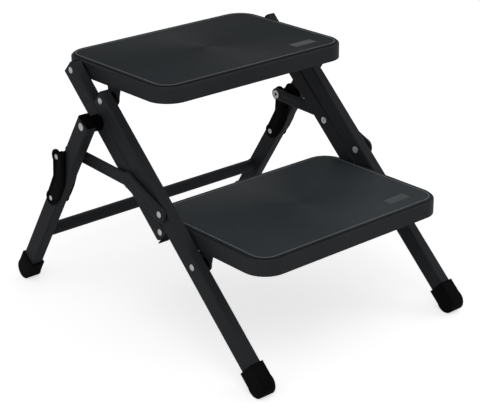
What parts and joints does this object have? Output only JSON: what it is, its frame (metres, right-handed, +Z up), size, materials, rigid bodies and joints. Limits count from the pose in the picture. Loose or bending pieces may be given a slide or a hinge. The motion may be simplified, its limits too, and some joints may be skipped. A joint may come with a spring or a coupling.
{
  "type": "folding caravan entry step",
  "caption": "Folding caravan entry step with two anti-slip treads on parallel tube legs, hinged rear legs with a cross bar, flat braces, plastic latches and rubber feet.",
  "frame": {"origin": "floor point under the middle of the step's bounding box, with the step open and standing", "axes": "+Z up, +X across the step to the right seen from the front, +Y from the front feet to the rear feet"},
  "size_m": [0.52, 0.623, 0.4225],
  "materials": {
    "frame_paint": "dark grey powder coat, satin",
    "pan_paint": "dark grey powder coat on sheet metal, satin",
    "mat_rubber": "fine-grained anti-slip mat, matt",
    "boot_rubber": "black moulded rubber, matt",
    "rivet_steel": "bright zinc-plated steel",
    "black_plastic": "black moulded plastic, fine texture",
    "label_plate": "plain grey plate, matt"
  },
  "bodies": {
    "front_legs": {"front_leg_left": "frame_paint", "front_leg_right": "frame_paint", "front_boot_left": "boot_rubber", "front_boot_right": "boot_rubber", "front_rivets_upper": "rivet_steel", "front_rivets_lower": "rivet_steel", "front_washers": "black_plastic", "front_leg_plugs": "black_plastic"},
    "top_tread": {"top_pan": "pan_paint", "top_mat": "mat_rubber", "top_ears": "pan_paint", "top_label": "label_plate"},
    "lower_tread": {"lower_pan": "pan_paint", "lower_mat": "mat_rubber", "lower_ears": "pan_paint", "lower_label": "label_plate"},
    "rear_links": {"rear_link_left": "frame_paint", "rear_link_right": "frame_paint", "rear_rivets_upper": "rivet_steel", "rear_rivets_lower": "rivet_steel", "rear_washers": "black_plastic", "link_plugs": "black_plastic", "leg_spacers": "black_plastic", "leg_rivets": "rivet_steel"},
    "rear_legs": {"rear_leg_left": "frame_paint", "rear_leg_right": "frame_paint", "rear_boot_left": "boot_rubber", "rear_boot_right": "boot_rubber", "cross_bar": "frame_paint", "rear_leg_plugs": "black_plastic"},
    "braces": {"brace_left": "frame_paint", "brace_right": "frame_paint", "brace_rivets": "rivet_steel", "brace_studs": "rivet_steel", "brace_washers": "black_plastic", "brace_eyelets": "rivet_steel"},
    "latches": {"latch_left": "black_plastic", "latch_right": "black_plastic", "latch_rivets": "rivet_steel", "latch_pins": "rivet_steel"}
  },
  "joints": [
    {"name": "fold", "type": "hinge", "parent": "front_legs", "child": "top_tread", "pos_m": [0, 0.07854, 0.3742], "axis": [-1, 0, 0], "range_deg": [0, 131]},
    {"name": "lower_tread_turn", "type": "hinge", "parent": "front_legs", "child": "lower_tread", "pos_m": [0, -0.14546, 0.1622], "axis": [-1, 0, 0], "range_deg": [0, 131]},
    {"name": "brace_turn", "type": "hinge", "parent": "front_legs", "child": "braces", "pos_m": [0, -0.07449, 0.22937], "axis": [-1, 0, 0], "range_deg": [0, 131]},
    {"name": "rear_link_turn", "type": "hinge", "parent": "top_tread", "child": "rear_links", "pos_m": [0, 0.1574, 0.40726], "axis": [-1, 0, 0], "range_deg": [-131, 0]},
    {"name": "rear_leg_turn", "type": "hinge", "parent": "rear_links", "child": "rear_legs", "pos_m": [0, 0.0842, 0.33797], "axis": [-1, 0, 0], "range_deg": [0, 80.6]},
    {"name": "latch_turn", "type": "hinge", "parent": "rear_legs", "child": "latches", "pos_m": [0, 0.18215, 0.18827], "axis": [-1, 0, 0], "range_deg": [0, 147.8]}
  ],
  "couplings": [
    {"joint": "lower_tread_turn", "follows": "fold", "ratio": 1},
    {"joint": "brace_turn", "follows": "fold", "ratio": 1},
    {"joint": "rear_link_turn", "follows": "fold", "ratio": -1},
    {"joint": "rear_leg_turn", "follows": "fold", "ratio": 0.61521},
    {"joint": "latch_turn", "follows": "fold", "ratio": 1.1281}
  ]
}
